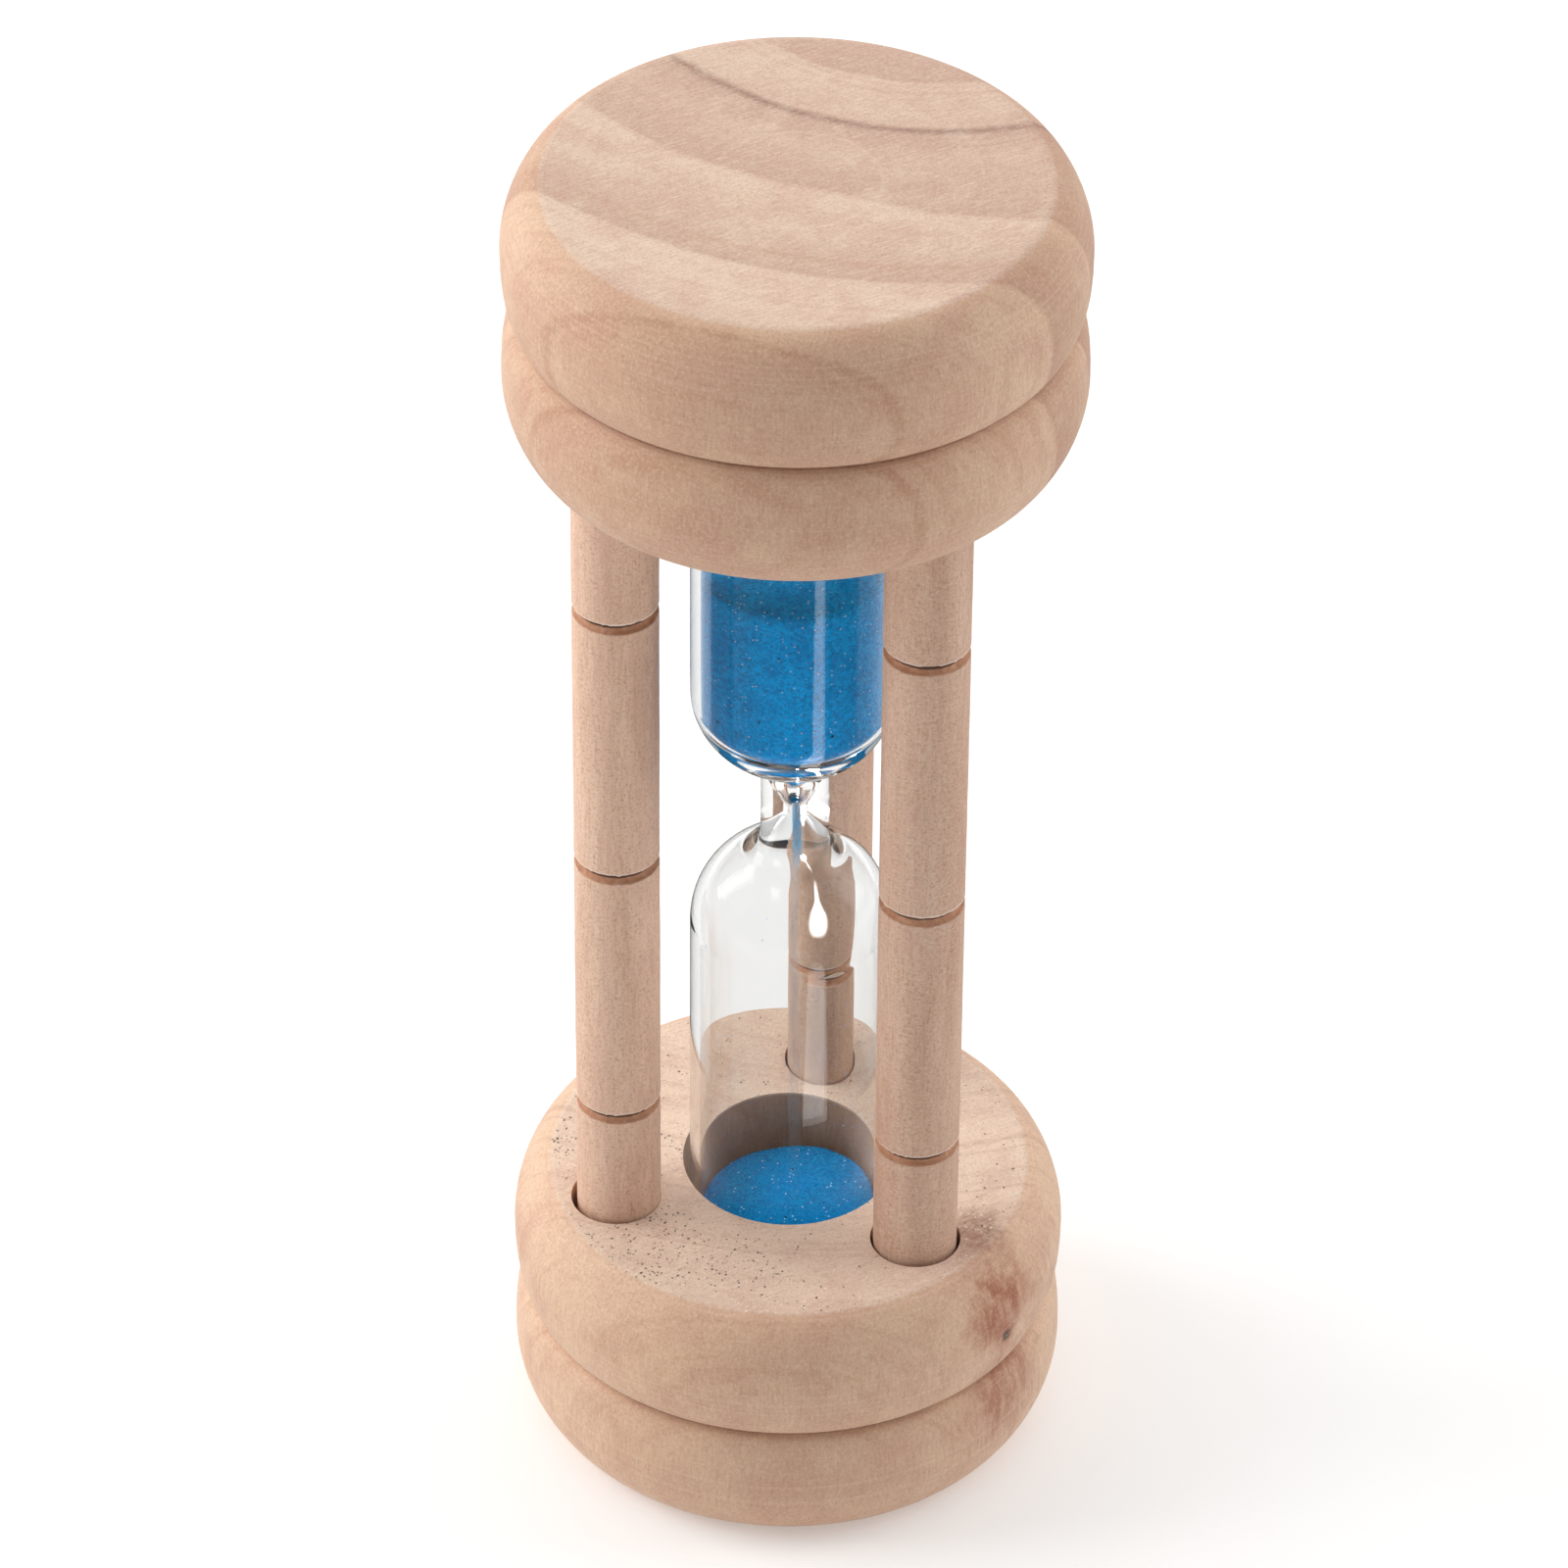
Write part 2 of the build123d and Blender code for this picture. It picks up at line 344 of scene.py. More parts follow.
def ring_distance(t, heart, lean, veer):
    """Distance in millimetres from a leaning heart line, warped so that no ring is a true circle.

    veer is (low, high, slope): rings between those distances swing outwards on the +X side.
    """
    slow = t.wobble(t.place, 0.05, 2, 0.5)
    quick = t.wobble(t.place, 0.8, 5, 0.75)
    bent = t.vector("MULTIPLY_ADD", slow, (1.6, 1.6, 1.6), t.place)
    bent = t.vector("MULTIPLY_ADD", quick, (0.5, 0.5, 0.5), bent)
    x, y, z = t.parts(bent)
    across = t.join(t.maths("SUBTRACT", x, heart[0]), t.maths("SUBTRACT", y, heart[1]))
    distance = t.maths("MULTIPLY_ADD", z, lean, t.vector("LENGTH", across))
    low, high, slope = veer
    edge = 3.0
    inside = t.maths("MULTIPLY", t.step(distance, low, low + edge), t.step(distance, high + edge, high))
    swing = t.maths("MULTIPLY", t.maths("MAXIMUM", t.maths("SUBTRACT", x, 2.0), 0.0), slope)
    return t.maths("SUBTRACT", distance, t.maths("MULTIPLY", swing, inside))


def ring_colours(t, distance, rings):
    """A ramp over the ring distance. rings lists distances with their colours."""
    first, last = rings[0][0], rings[-1][0]
    share = t.maths("DIVIDE", t.maths("SUBTRACT", distance, first), last - first)
    return t.ramp(share, [((d - first) / (last - first), colour) for d, colour in rings])


def fibre_layers(t, where, lengthwise=0.08):
    """Fine fibre and pores that run along Z: a tone from 0 to 1, and pores from 0 to 1."""
    stretched = t.vector("MULTIPLY", where, (1.0, 1.0, lengthwise))
    fine = t.noise(stretched, 6.0, 4, 0.7)
    distance, tint = t.cells(stretched, 3.4)
    kept = t.step(t.parts(tint)[0], 0.6, 0.75)
    pores = t.maths("MULTIPLY", t.step(distance, 0.16, 0.04), kept)
    return fine, pores


def torn_grain(t, inner_face, spots):
    """Rough-cut pits and curls on the inner face, thickest in spots (place, size): from 0 to 1. The pits
    carry torn grain with painted shade, the curls torn fibre with a painted highlight.
    """
    cluster = t.step(t.noise(t.place, 0.3, 3, 0.6), 0.42, 0.65, 0.06, 0.34)
    for place, size in spots:
        reach = t.vector("DISTANCE", t.place, place)
        cluster = t.maths("MAXIMUM", cluster, t.step(reach, size, size * 0.4))
    where = t.vector("MULTIPLY_ADD", t.noise(t.place, 3.0, 2, 0.5, colour=True),
                     (0.35, 0.35, 0.0), t.place)
    distance, tint = t.cells(t.vector("MULTIPLY", where, (1.0, 1.0, 0.0)), 3.2)
    chance, other, third = t.parts(tint)
    size = t.maths("MULTIPLY_ADD", other, 0.26, 0.12)
    kept = t.step(t.maths("ADD", chance, cluster), 0.97, 1.01)
    pit_shade = t.maths("MULTIPLY", t.step(distance, size, t.maths("MULTIPLY", size, 0.6)), kept)
    curled = t.step(t.maths("ADD", third, t.maths("MULTIPLY", cluster, 0.7)), 0.96, 1.0)
    curl_highlight = t.maths("MULTIPLY", t.step(distance, 0.42, 0.16), curled)
    return t.maths("MULTIPLY", pit_shade, inner_face), t.maths("MULTIPLY", curl_highlight, inner_face)


def cap_figure(t, distance, z, rings):
    """The wood's broad figure: its rings, streaks that follow them, and mottling."""
    colour = ring_colours(t, distance, rings)
    streaks = t.noise(t.join(distance, t.maths("MULTIPLY", z, 0.1), 0.0), 0.9, 5, 0.75)
    colour = t.tinge(colour, streaks, 0.48, 0.68, 0.46, srgb(196, 154, 128))
    mottle = t.noise(t.place, 0.28, 4, 0.65)
    colour = t.tinge(colour, mottle, 0.42, 0.68, 0.4, srgb(206, 164, 148))
    return t.tinge(colour, mottle, 0.50, 0.32, 0.35, srgb(232, 208, 184))


def fine_marks(t, colour, fine, dust, round_the_axis):
    """Fibre, pale and dark specks, and the faint marks left by turning."""
    colour = t.tinge(colour, fine, 0.42, 0.68, 0.26, srgb(172, 128, 106))
    colour = t.tinge(colour, dust, 0.50, 0.68, 0.28, srgb(244, 224, 206))
    colour = t.tinge(colour, dust, 0.49, 0.33, 0.30, srgb(168, 128, 108))
    turning = t.noise(round_the_axis, 4.0, 3, 0.7)
    return t.tinge(colour, turning, 0.50, 0.70, 0.16, srgb(246, 222, 200))


def knotted(t, colour, knots):
    """Lays ragged knots over the colour. Each is (place, size, colour, weight)."""
    along = t.noise(t.vector("MULTIPLY", t.place, (1.0, 1.0, 0.25)), 1.2, 3, 0.6)
    broken = t.step(along, 0.34, 0.60, 0.5, 1.0)
    for place, size, tone, weight in knots:
        ragged = t.wobble(t.place, 0.5, 4, 0.65)
        where = t.vector("MULTIPLY_ADD", ragged, (size, size, size), t.place)
        reach = t.vector("DISTANCE", where, place)
        share = t.maths("MULTIPLY", t.step(reach, size, size * 0.25, 0.0, weight), broken)
        colour = t.blend(share, colour, tone)
    return colour


def scratch_lines(t, x, y):
    """Fine sanding scratches that all run one way."""
    along = t.maths("MULTIPLY_ADD", x, 0.11, t.maths("MULTIPLY", y, 0.093))
    across = t.maths("MULTIPLY_ADD", y, 1.7, t.maths("MULTIPLY", x, -1.45))
    return t.noise(t.join(along, across), 3.2, 5, 0.85)


def socket_wall(t, radius, z, bore):
    """1 on the wall of the vial's socket, between the two heights of bore, and 0 elsewhere: where painted
    shade darkens the wood.
    """
    low, high = bore
    half = (high - low) / 2
    from_middle = t.maths("ABSOLUTE", t.maths("SUBTRACT", z, (low + high) / 2))
    near = t.step(radius, SOCKET_REACH + 0.15, SOCKET_REACH)
    return t.maths("MULTIPLY", near, t.step(from_middle, half, half - 0.3))


def cap_wood(name, heart, lean, veer, rings, inner_height, bore, torn, knots):
    """Bare turned wood with wide rings, a sanded outer face and a rough inner one. The wall of the vial's
    socket gets painted shade.

    inner_height is the inner face's height, bore is (low, high) of the vial's socket, torn lists
    (place, size) of rough spots, and knots (place, size, colour, weight). All are in millimetres.
    """
    t = Tree(name)
    x, y, z = t.parts(t.place)
    radius = t.vector("LENGTH", t.join(x, y))
    distance = ring_distance(t, heart, lean, veer)
    colour = knotted(t, cap_figure(t, distance, z, rings), knots)

    up = t.maths("ABSOLUTE", t.parts(t.facing)[2])
    flat = t.step(up, 0.90, 0.985)
    burnished = t.blend(1.0, colour, (0.95, 0.84, 0.74), "MULTIPLY")
    colour = t.blend(flat, burnished, colour)

    fine, pores = fibre_layers(t, t.place)
    dust = t.noise(t.place, 4.5, 4, 0.75)
    colour = fine_marks(t, colour, fine, dust, t.join(radius, t.maths("MULTIPLY", z, 0.7), 0.0))
    colour = t.blend(t.maths("MULTIPLY", pores, 0.22), colour, srgb(120, 82, 62))

    scratches = scratch_lines(t, x, y)
    for low, high, weight, tone in (
        (0.50, 0.66, 0.50, srgb(242, 220, 202)),
        (0.49, 0.34, 0.42, srgb(186, 148, 128)),
    ):
        share = t.maths("MULTIPLY", t.step(scratches, low, high, 0.0, weight), flat)
        colour = t.blend(share, colour, tone)

    above = t.maths("ABSOLUTE", t.maths("SUBTRACT", z, inner_height))
    inner_face = t.maths("MULTIPLY", flat, t.step(above, 0.3, 0.1))
    pit_shade, curl_highlight = torn_grain(t, inner_face, torn)
    # Torn grain: the curled fibres get a painted highlight, and the pits painted shade.
    colour = t.blend(t.maths("MULTIPLY", curl_highlight, 0.8), colour, srgb(250, 228, 206))
    colour = t.blend(t.maths("MULTIPLY", pit_shade, 0.85), colour, srgb(84, 56, 42))

    # Painted shade: the wall of the vial's socket, a narrow recess, is darkened in colour.
    socket_shade = socket_wall(t, radius, z, bore)
    colour = t.blend(socket_shade, colour, t.blend(1.0, colour, (0.60, 0.52, 0.47), "MULTIPLY"))

    height = t.maths("MULTIPLY_ADD", pores, -0.6, fine)
    height = t.maths("MULTIPLY_ADD", dust, 0.8, height)
    height = t.maths("MULTIPLY_ADD", t.maths("MULTIPLY", scratches, flat), 0.9, height)
    height = t.maths("MULTIPLY_ADD", pit_shade, -5.0, height)
    height = t.maths("MULTIPLY_ADD", curl_highlight, 2.5, height)
    return t.finish(t.principled(
        Base_Color=colour,
        Roughness=t.step(fine, 0.3, 0.7, 0.55, 0.8),
        Specular_IOR_Level=0.4,
        Sheen_Weight=0.14,
        Sheen_Roughness=0.4,
        Normal=t.bump(height, 0.5, 0.05 * MM),
    ))


def ring_marks(t, place, z):
    """The colour inside a cut ring, with painted shade over its upper half, and a painted highlight on
    the lip above it.
    """
    colour = t.ramp(t.noise(place, 1.8, 4, 0.65), [
        (0.35, srgb(190, 134, 102)),
        (0.55, srgb(204, 150, 118)),
        (0.75, srgb(220, 174, 142)),
    ])
    pitch = (RING_HEIGHTS[1] - RING_HEIGHTS[0]) / MM
    first = (BASE_FACE + RING_HEIGHTS[0]) / MM
    over = t.maths("FRACT", t.maths("MULTIPLY_ADD", z, 1 / pitch, 0.5 - first / pitch))
    # Painted shade: the upper half of the ring, under its lip, is darkened in colour.
    upper_half_shade = t.step(over, 0.5 - 0.12 / pitch, 0.5 + 0.04 / pitch, 0.0, 0.88)
    # Painted highlight: a pale band on the rounded lip above the ring.
    lip_highlight = t.maths("MULTIPLY", t.step(over, 0.5 + 0.36 / pitch, 0.5 + 0.42 / pitch),
                  t.step(over, 0.5 + 0.56 / pitch, 0.5 + 0.48 / pitch, 0.0, 0.6))
    return t.blend(upper_half_shade, colour, srgb(58, 34, 24)), lip_highlight


def post_wood(name, centre, seed, tint):
    """Dowel wood for a post whose axis stands at centre. Its cut rings have painted shade over their
    upper half and a painted highlight on the lip above.
    """
    t = Tree(name)
    place = t.vector("ADD", t.place, (seed * 17.0, seed * 29.0, seed * 41.0))
    own = t.vector("SUBTRACT", t.place, (centre.x / MM, centre.y / MM, 0.0))
    x, y, z = t.parts(own)
    radius = t.vector("LENGTH", t.join(x, y))
    broad = t.noise(t.vector("MULTIPLY", place, (0.5, 0.5, 0.05)), 1.0, 3, 0.6)
    # Scaled by the post's factor: painted light on the left post, painted shade on the right one.
    colour = t.blend(1.0, t.ramp(broad, [
        (0.30, srgb(204, 166, 144)),
        (0.50, srgb(214, 180, 157)),
        (0.70, srgb(222, 190, 168)),
    ]), tint, "MULTIPLY")
    fine, pores = fibre_layers(t, place, 0.10)
    colour = t.tinge(colour, fine, 0.45, 0.70, 0.30, srgb(170, 126, 107))
    colour = t.blend(t.maths("MULTIPLY", pores, 0.30), colour, srgb(112, 76, 60))
    turned = t.vector("MULTIPLY", place, (0.5, 0.5, 2.2))
    fuzz = t.noise(turned, 2.6, 4, 0.8)
    colour = t.tinge(colour, fuzz, 0.50, 0.68, 0.30, srgb(240, 218, 202))
    dust = t.noise(place, 4.8, 3, 0.8)
    colour = t.tinge(colour, dust, 0.50, 0.34, 0.46, srgb(160, 112, 88))
    colour = t.tinge(colour, dust, 0.56, 0.70, 0.28, srgb(246, 226, 208))
    worn = t.noise(t.vector("MULTIPLY", place, (1.0, 1.0, 0.35)), 0.32, 3, 0.6)
    colour = t.tinge(colour, worn, 0.52, 0.75, 0.35, srgb(198, 156, 138))

    ring_colour, lip_highlight = ring_marks(t, place, z)
    # The lip's painted highlight, then the ring's colour with its painted shade.
    colour = t.blend(lip_highlight, colour, srgb(250, 236, 224))
    colour = t.blend(t.step(radius, *RING_FLOOR), colour, ring_colour)
    height = t.maths("MULTIPLY_ADD", pores, -0.7, fine)
    height = t.maths("MULTIPLY_ADD", fuzz, 0.8, height)
    height = t.maths("MULTIPLY_ADD", dust, 0.6, height)
    return t.finish(t.principled(
        Base_Color=colour,
        Roughness=t.step(fine, 0.3, 0.7, 0.6, 0.85),
        Specular_IOR_Level=0.35,
        Normal=t.bump(height, 0.5, 0.05 * MM),
    ))


def felt(name):
    """Thin grey-brown felt."""
    t = Tree(name)
    strands = t.noise(t.place, 5.0, 5, 0.75)
    colour = t.ramp(strands, [(0.3, srgb(84, 76, 70)), (0.7, srgb(140, 130, 120))])
    return t.finish(t.principled(
        Base_Color=colour,
        Roughness=t.step(strands, 0.3, 0.7, 0.8, 1.0),
        Sheen_Weight=0.3,
        Normal=t.bump(strands, 0.8, 0.1 * MM),
    ))


# ---------------------------------------------------------------- glass and sand

def clear_glass(name):
    """Lamp-blown glass with faint smears. Lamps shine through it to what is inside.

    Light that has run a long way inside the walls leaves them dimmed, instead of being lost.
    """
    t = Tree(name)
    smear = t.noise(t.vector("MULTIPLY", t.place, (0.5, 0.5, 0.12)), 1.0, 4, 0.6)
    shader = t.principled(
        Base_Color=GLASS_COLOUR,
        Roughness=t.step(smear, 0.6, 0.85, 0.0, 0.05),
        IOR=GLASS_IOR,
        Specular_Tint=(0.25, 0.25, 0.25),
        Transmission_Weight=1.0,
    )
    path = t.add("ShaderNodeLightPath")
    trapped = t.maths("GREATER_THAN", path.outputs["Glossy Depth"], TRAPPED_AFTER)
    for chosen, tint in ((path.outputs["Is Shadow Ray"], SHADOW_TINT), (trapped, TRAPPED_TINT)):
        clear = t.add("ShaderNodeBsdfTransparent")
        clear.inputs["Color"].default_value = tint
        mix = t.add("ShaderNodeMixShader")
        t.put(mix.inputs[0], chosen)
        t.put(mix.inputs[1], shader)
        t.put(mix.inputs[2], clear.outputs[0])
        shader = mix.outputs[0]
    return t.finish(shader)


def blue_sand(name, painted_light_factor):
    """Dyed sand: each cell is a grain with its own tone, and a few grains are dark. A few grains get a
    painted glint, a pale colour and a smoother finish, and the whole colour is scaled by
    painted_light_factor: painted light above 1, painted shade below it.
    """
    t = Tree(name)
    distance, tint = t.cells(t.place, 6.5)
    chance, _, third = t.parts(tint)
    colour = t.ramp(chance, [
        (0.0, srgb(0, 122, 190)),
        (0.5, srgb(0, 150, 220)),
        (1.0, srgb(0, 167, 234)),
    ])
    # Painted light or shade for this body of sand: its whole colour is scaled.
    colour = t.blend(1.0, colour, (painted_light_factor, painted_light_factor, painted_light_factor), "MULTIPLY")
    drift = t.noise(t.place, 0.35, 3, 0.6)
    colour = t.tinge(colour, drift, 0.4, 0.7, 0.35, srgb(0, 126, 206))
    # Painted glints: a few grains get a pale colour, and a lower roughness.
    heart, glint = t.cells(t.place, GLINT_CELLS_PER_MM)
    bright = t.step(t.parts(glint)[0], 0.86, 0.87)
    painted_glint = t.maths("MULTIPLY", bright, t.step(heart, 0.28, 0.16))
    colour = t.blend(t.maths("MULTIPLY", painted_glint, 0.9), colour, srgb(222, 240, 248))
    dark = t.step(third, 0.9985, 0.9995)
    colour = t.blend(dark, colour, srgb(10, 24, 48))
    return t.finish(t.principled(
        Base_Color=colour,
        Roughness=t.maths("MULTIPLY_ADD", painted_glint, -0.55, 0.8),
        Specular_IOR_Level=0.05,
        Normal=t.bump(distance, 0.5, 0.06 * MM),
    ))


def falling_sand(name):
    """Sand in flight, blurred by its speed: blue at the waist, then a thin pale veil."""
    t = Tree(name)
    z = t.parts(t.place)[2]
    fall = t.step(z, WAIST / MM - 0.5, WAIST / MM - 9.0)
    streaks = t.noise(t.vector("MULTIPLY", t.place, (3.0, 3.0, 0.5)), 1.0, 3, 0.6)
    colour = t.blend(fall, srgb(60, 160, 205), srgb(160, 182, 194))
    solid = t.principled(Base_Color=colour, Roughness=0.8, Specular_IOR_Level=0.1)
    clear = t.add("ShaderNodeBsdfTransparent")
    thin = t.maths("MULTIPLY_ADD", fall, -0.42, 0.62)
    cover = t.maths("MULTIPLY", thin, t.step(streaks, 0.35, 0.62, 0.45, 1.0))
    cover = t.maths("MULTIPLY", cover, t.step(z, BASE_FACE / MM - 2.0, BASE_FACE / MM + 14.0, 0.12, 1.0))
    mix = t.add("ShaderNodeMixShader")
    t.put(mix.inputs[0], cover)
    t.put(mix.inputs[1], clear.outputs[0])
    t.put(mix.inputs[2], solid)
    return t.finish(mix.outputs[0])


# ---------------------------------------------------------------- meshes

def new_object(name, points, faces, material, smooth=True):
    mesh = bpy.data.meshes.new(name)
    mesh.from_pydata([tuple(p) for p in points], [], faces)
    mesh.validate()
    mesh.update()
    mesh.materials.append(material)
    for polygon in mesh.polygons:
        polygon.use_smooth = smooth
    item = bpy.data.objects.new(name, mesh)
    bpy.context.scene.collection.objects.link(item)
    return item


def lathe(profile, segments):
    """Points and faces of a closed shape turned about Z. The profile runs up from axis to axis."""
    points = [(0.0, 0.0, profile[0][1])]
    rows = profile[1:-1]
    for radius, height in rows:
        for k in range(segments):
            turn = 2 * math.pi * k / segments
            points.append((radius * math.cos(turn), radius * math.sin(turn), height))
    points.append((0.0, 0.0, profile[-1][1]))
    last = len(points) - 1
    faces = []
    for k in range(segments):
        after = (k + 1) % segments
        faces.append((0, 1 + after, 1 + k))
        for row in range(len(rows) - 1):
            low = 1 + row * segments
            high = low + segments
            faces.append((low + k, low + after, high + after, high + k))
        top = 1 + (len(rows) - 1) * segments
        faces.append((top + k, top + after, last))
    return points, faces


def arc(centre, radius, start, end, steps):
    """Points on an arc, from angle start to angle end in degrees, both ends in."""
    return [
        (centre[0] + radius * math.cos(math.radians(a)),
         centre[1] + radius * math.sin(math.radians(a)))
        for a in np.linspace(start, end, steps + 1)
    ]


def straight(first, last, steps):
    """Points between two ends, without them."""
    return [
        (first[0] + (last[0] - first[0]) * k / steps, first[1] + (last[1] - first[1]) * k / steps)
        for k in range(1, steps)
    ]


def half_profile(radius, shoulder, foot, corner_radius, blend, length, rounding):
    """A bulb's outline from foot, up a neck to the shoulder, and on to the closed end."""
    offset, share = shoulder
    corner_turn = -math.acos(corner_radius / radius)
    above_turn = corner_turn + blend / radius

    def on_shoulder(turn):
        return Vector((radius * math.cos(turn), offset + share * radius * math.sin(turn)))

    corner = on_shoulder(corner_turn)
    above = on_shoulder(above_turn)
    below = corner - (corner - foot).normalized() * blend
    profile = [tuple(foot), *straight(foot, below, NECK_STEPS)]
    for k in range(BLEND_STEPS):
        s = k / BLEND_STEPS
        profile.append(tuple(below * (1 - s) ** 2 + corner * 2 * s * (1 - s) + above * s ** 2))
    for k in range(SHOULDER_STEPS + 1):
        profile.append(tuple(on_shoulder(above_turn * (1 - k / SHOULDER_STEPS))))
    inner = (radius - rounding, length - rounding)
    profile += straight((radius, offset), (radius, inner[1]), SIDE_STEPS)
    profile += arc(inner, rounding, 0, 90, END_STEPS)
    return profile + [(inner[0] / 2, length), (0.0, length)]


def outside_profile(length):
    """Half of the vial's outside from the waist to the closed end, as (radius, height)."""
    shoulder = UPPER_SHOULDER if length == UPPER_LENGTH else LOWER_SHOULDER
    foot = Vector((NECK_RADIUS, 0.0))
    return half_profile(VIAL_RADIUS, shoulder, foot, NECK_RADIUS, NECK_BLEND, length, END_ROUND)


def inside_profile(length, inset=0.0):
    """Half of the vial's hollow from the waist to the closed end, drawn in by inset."""
    shoulder = UPPER_HOLLOW_SHOULDER if length == UPPER_LENGTH else LOWER_SHOULDER
    foot = Vector((ORIFICE_RADIUS - inset, ORIFICE_HALF))
    start = [(foot.x, 0.0), (foot.x, ORIFICE_HALF / 2)]
    return start + half_profile(
        BORE_RADIUS - inset, shoulder, foot, FUNNEL_RADIUS - inset, FUNNEL_BLEND,
        length - VIAL_WALL - inset, END_ROUND - VIAL_WALL,
    )


def both_ways(half):
    """A whole profile from the lower axis to the upper one. half makes one bulb's by its length."""
    lower = [(r, WAIST - h) for r, h in reversed(half(LOWER_LENGTH))]
    return lower[:-1] + [(r, WAIST + h) for r, h in half(UPPER_LENGTH)]


def vial_lean(point):
    """Moves a point with the vial's slightly crooked waist."""
    x, y, z = point
    side = NECK_SHIFT * math.exp(-((z - WAIST) / NECK_SHIFT_REACH) ** 2)
    return (x + side * math.cos(CAMERA_AZIMUTH), y + side * math.sin(CAMERA_AZIMUTH), z)


def make_vial(material):
    """Two closed skins, the outer one facing out and the inner one facing the hollow."""
    outer, outer_faces = lathe(both_ways(outside_profile), VIAL_SEGMENTS)
    inner, inner_faces = lathe(both_ways(inside_profile), VIAL_SEGMENTS)
    start = len(outer)
    faces = outer_faces + [tuple(start + i for i in reversed(f)) for f in inner_faces]
    vial = new_object("vial_glass", [vial_lean(p) for p in outer + inner], faces, material)
    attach(vial, "vial")
    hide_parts("glass_vial")
    return vial


def clipped(profile, level):
    """The part of a half profile below a level over the waist, ending at that level."""
    kept = [p for p in profile if p[1] < level]
    last = kept[-1]
    after = profile[len(kept)]
    share = (level - last[1]) / (after[1] - last[1])
    return kept + [(last[0] + (after[0] - last[0]) * share, level)]


def make_upper_sand(material):
    """The sand still to run, with a shallow dimple over the orifice."""
    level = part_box("sand_upper")[1].z - WAIST
    side = clipped(inside_profile(UPPER_LENGTH, SAND_GAP), level)[2:]
    edge = side[-1][0]
    surface = []
    for k in range(1, DIMPLE_ROWS):
        r = edge * (1 - k / DIMPLE_ROWS)
        share = min(1.0, r / (DIMPLE_SHARE * edge))
        surface.append((r, level - DIMPLE_DEPTH * math.cos(math.pi / 2 * share) ** 2))
    profile = [(0.0, side[0][1]), *side, *surface, (0.0, level - DIMPLE_DEPTH)]
    points, faces = lathe([(r, WAIST + h) for r, h in profile], SAND_SEGMENTS)
    points = [vial_lean(p) for p in points]
    sand = new_object("sand_to_run", points, faces, material)
    grain_surface(sand, WAIST + level, edge)
    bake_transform(sand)
    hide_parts("sand_upper")


def grain_surface(sand, level, edge):
    """Roughens the surface of a body of sand that lies about level and reaches out to edge."""
    for vertex in sand.data.vertices:
        place = vertex.co
        if place.z > level - ROUGH_DEPTH and math.hypot(place.x, place.y) < edge * ROUGH_SHARE:
            place.z += noise.noise(place / (2.2 * GRAIN)) * GRAIN_HEIGHT


def make_lower_sand(material):
    """The sand that has run through: its surface leans a little and rises where the thread lands."""
    low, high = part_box("sand_lower")
    edge_level = high.z - HEAP_DROP
    half = inside_profile(LOWER_LENGTH, SAND_GAP)
    bottom = [(r, WAIST - h) for r, h in reversed(half) if WAIST - h < edge_level]
    edge = bottom[-1][0]
    surface = [(edge * (1 - k / HEAP_ROWS), edge_level) for k in range(1, HEAP_ROWS)]
    profile = [*bottom, (edge, edge_level), *surface, (0.0, edge_level)]
    points, faces = lathe(profile, SAND_SEGMENTS)
    shaped = []
    for x, y, z in points:
        if z > edge_level - NEAR:
            crown = HEAP_CROWN * math.exp(-(math.hypot(x, y) / HEAP_SPREAD) ** 2)
            lean = HEAP_SLOPE * (x * math.cos(CAMERA_AZIMUTH) + y * math.sin(CAMERA_AZIMUTH))
            z += crown + lean + noise.noise(Vector((x, y, 0)) / HEAP_WAVE) * HEAP_UNEVEN
        shaped.append((x, y, z))
    sand = new_object("sand_run_through", shaped, faces, material)
    grain_surface(sand, edge_level, edge)
    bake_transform(sand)
    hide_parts("sand_lower")


def make_stream(material):
    """The falling thread: it leaves the orifice as one jet, wanders a little and widens."""
    noise.seed_set(STREAM_SEED)
    low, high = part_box("sand_stream")
    length = high.z - low.z
    profile = [(0.0, low.z)]
    for k in range(STREAM_ROWS + 1):
        share = k / STREAM_ROWS
        profile.append((STREAM_RADIUS + STREAM_SPREAD * (1 - share), low.z + length * share))
    profile.append((0.0, high.z))
    points, faces = lathe(profile, STREAM_SEGMENTS)
    shaped = []
    for x, y, z in points:
        drop = (high.z - z) / length
        wander = noise.noise_vector(Vector((0, 0, z / STREAM_WAVE))) * min(1.0, drop * 8) * STREAM_WANDER
        ragged = noise.noise_vector(Vector((x, y, z / 4)) / (0.35 * MM)) * STREAM_RAGGED
        side = STREAM_DRIFT * drop ** 0.5
        shaped.append(vial_lean((x + wander.x + ragged.x + side, y + wander.y + ragged.y, z)))
    stream = new_object("sand_falling", shaped, faces, material)
    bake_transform(stream)
    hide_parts("sand_stream")


def post_profile(low, high, radius, rings):
    """A dowel's profile with even rows of points, and close ones about each ring."""
    heights = {low + POST_CHAMFER, high - POST_CHAMFER}
    heights |= set(np.arange(low + 1 * MM, high - 1 * MM, POST_ROW))
    for ring in rings:
        heights = {h for h in heights if abs(h - ring) > RING_CLEAR}
        heights |= set(np.linspace(ring - RING_REACH, ring + RING_REACH, RING_ROWS))
    side = [(radius, h) for h in sorted(heights)]
    inner = radius - POST_CHAMFER
    return [(0.0, low), (inner, low), *side, (inner, high), (0.0, high)]


